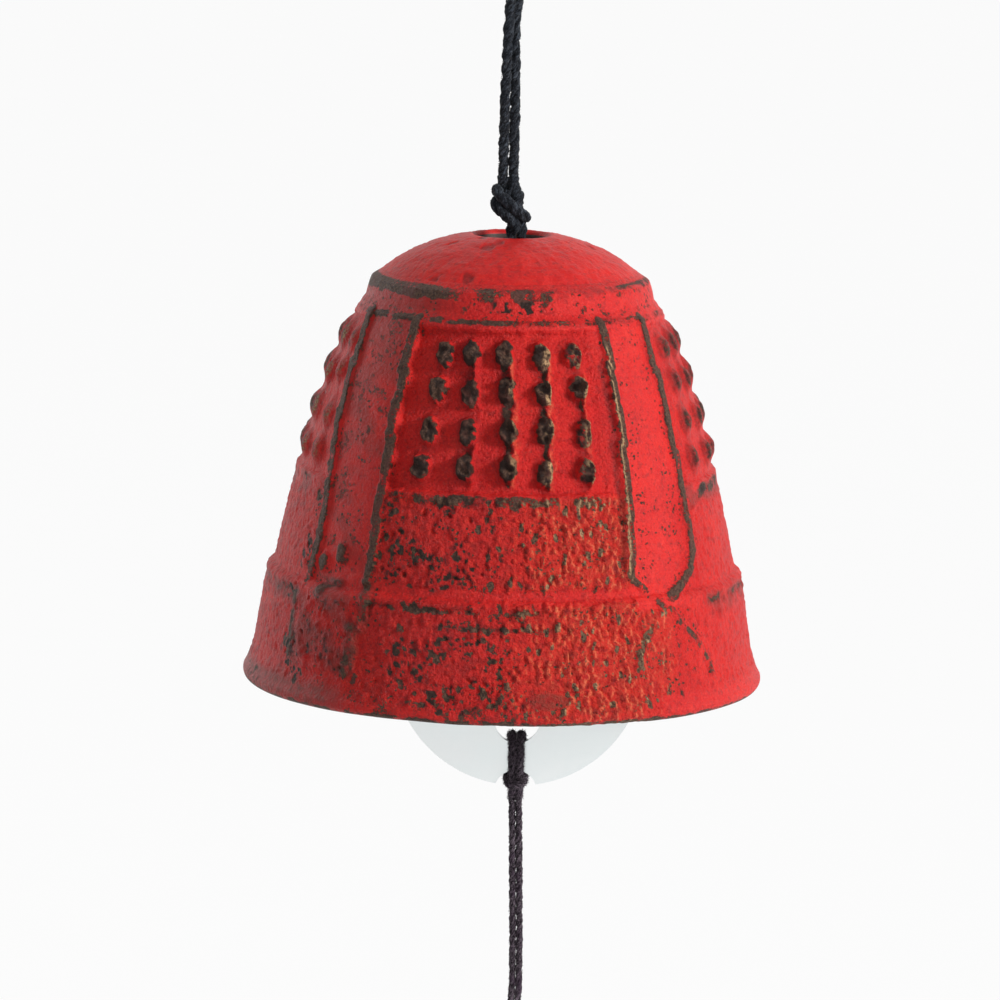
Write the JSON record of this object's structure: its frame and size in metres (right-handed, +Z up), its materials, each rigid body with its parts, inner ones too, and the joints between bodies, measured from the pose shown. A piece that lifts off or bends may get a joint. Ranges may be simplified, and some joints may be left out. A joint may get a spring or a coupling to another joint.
{
  "type": "furin wind bell",
  "caption": "Cast-iron wind bell of temple-bell form, painted red, hung on a doubled cord, with a sheet-metal disc clapper on a cord sling and a paper strip on its tail.",
  "frame": {"origin": "where the top of the hanging loop bears on its peg or hook", "axes": "+Z up along the bell's axis; the boss panel that faces the viewer looks along -Y; the clapper disc lies in the XZ plane"},
  "size_m": [0.065, 0.065, 0.2529],
  "materials": {
    "red_painted_iron": "satin red paint over rough iron, worn to brown on the edges",
    "toggle_steel": "plain turned",
    "dark_cord": "navy-black twisted cord",
    "thin_cord": "purple-brown thin cord",
    "disc_sheet": "matte pale grey",
    "strip_paper": "stiff plain paper"
  },
  "bodies": {
    "hanger": {"hanging_loop": "dark_cord"},
    "hanging_cord": {"upper_strand_left": "dark_cord", "upper_strand_right": "dark_cord"},
    "toggle": {"crown_knot": "dark_cord", "toggle_sling": "dark_cord", "toggle_bar": "toggle_steel"},
    "bell": {"bell_casting": "red_painted_iron"},
    "clapper_line": {"clapper_cord": "thin_cord"},
    "clapper": {"clapper_disc": "disc_sheet", "clapper_hitch": "thin_cord", "tail_hitch": "thin_cord"},
    "tail": {"tail_strand_left": "thin_cord", "tail_strand_right": "thin_cord", "tail_knot": "thin_cord"},
    "strip": {"strip_loop": "thin_cord", "wish_strip": "strip_paper"}
  },
  "joints": [
    {"name": "cord_swing", "type": "hinge", "parent": "hanger", "child": "hanging_cord", "pos_m": [0, 0, -0.0143], "axis": [0, 1, 0], "range_deg": [-20, 20]},
    {"name": "bell_turn", "type": "hinge", "parent": "hanging_cord", "child": "toggle", "pos_m": [0, 0, -0.044], "axis": [0, 0, 1], "range_deg": [-90, 90]},
    {"name": "bell_rock", "type": "hinge", "parent": "toggle", "child": "bell", "pos_m": [0, 0, -0.05021], "axis": [1, 0, 0], "range_deg": [-12, 12]},
    {"name": "clapper_swing", "type": "hinge", "parent": "toggle", "child": "clapper_line", "pos_m": [0.0021, 0, -0.05021], "axis": [0, 1, 0], "range_deg": [-8.5, 16.5]},
    {"name": "clapper_tilt", "type": "hinge", "parent": "clapper_line", "child": "clapper", "pos_m": [0.0021, 0, -0.08035], "axis": [1, 0, 0], "range_deg": [-20, 20]},
    {"name": "tail_swing", "type": "hinge", "parent": "clapper", "child": "tail", "pos_m": [0.0021, 0, -0.11585], "axis": [1, 0, 0], "range_deg": [-35, 35]},
    {"name": "strip_turn", "type": "hinge", "parent": "tail", "child": "strip", "pos_m": [0.0021, 0, -0.1489], "axis": [0, 0, 1], "range_deg": [-90, 90]}
  ]
}
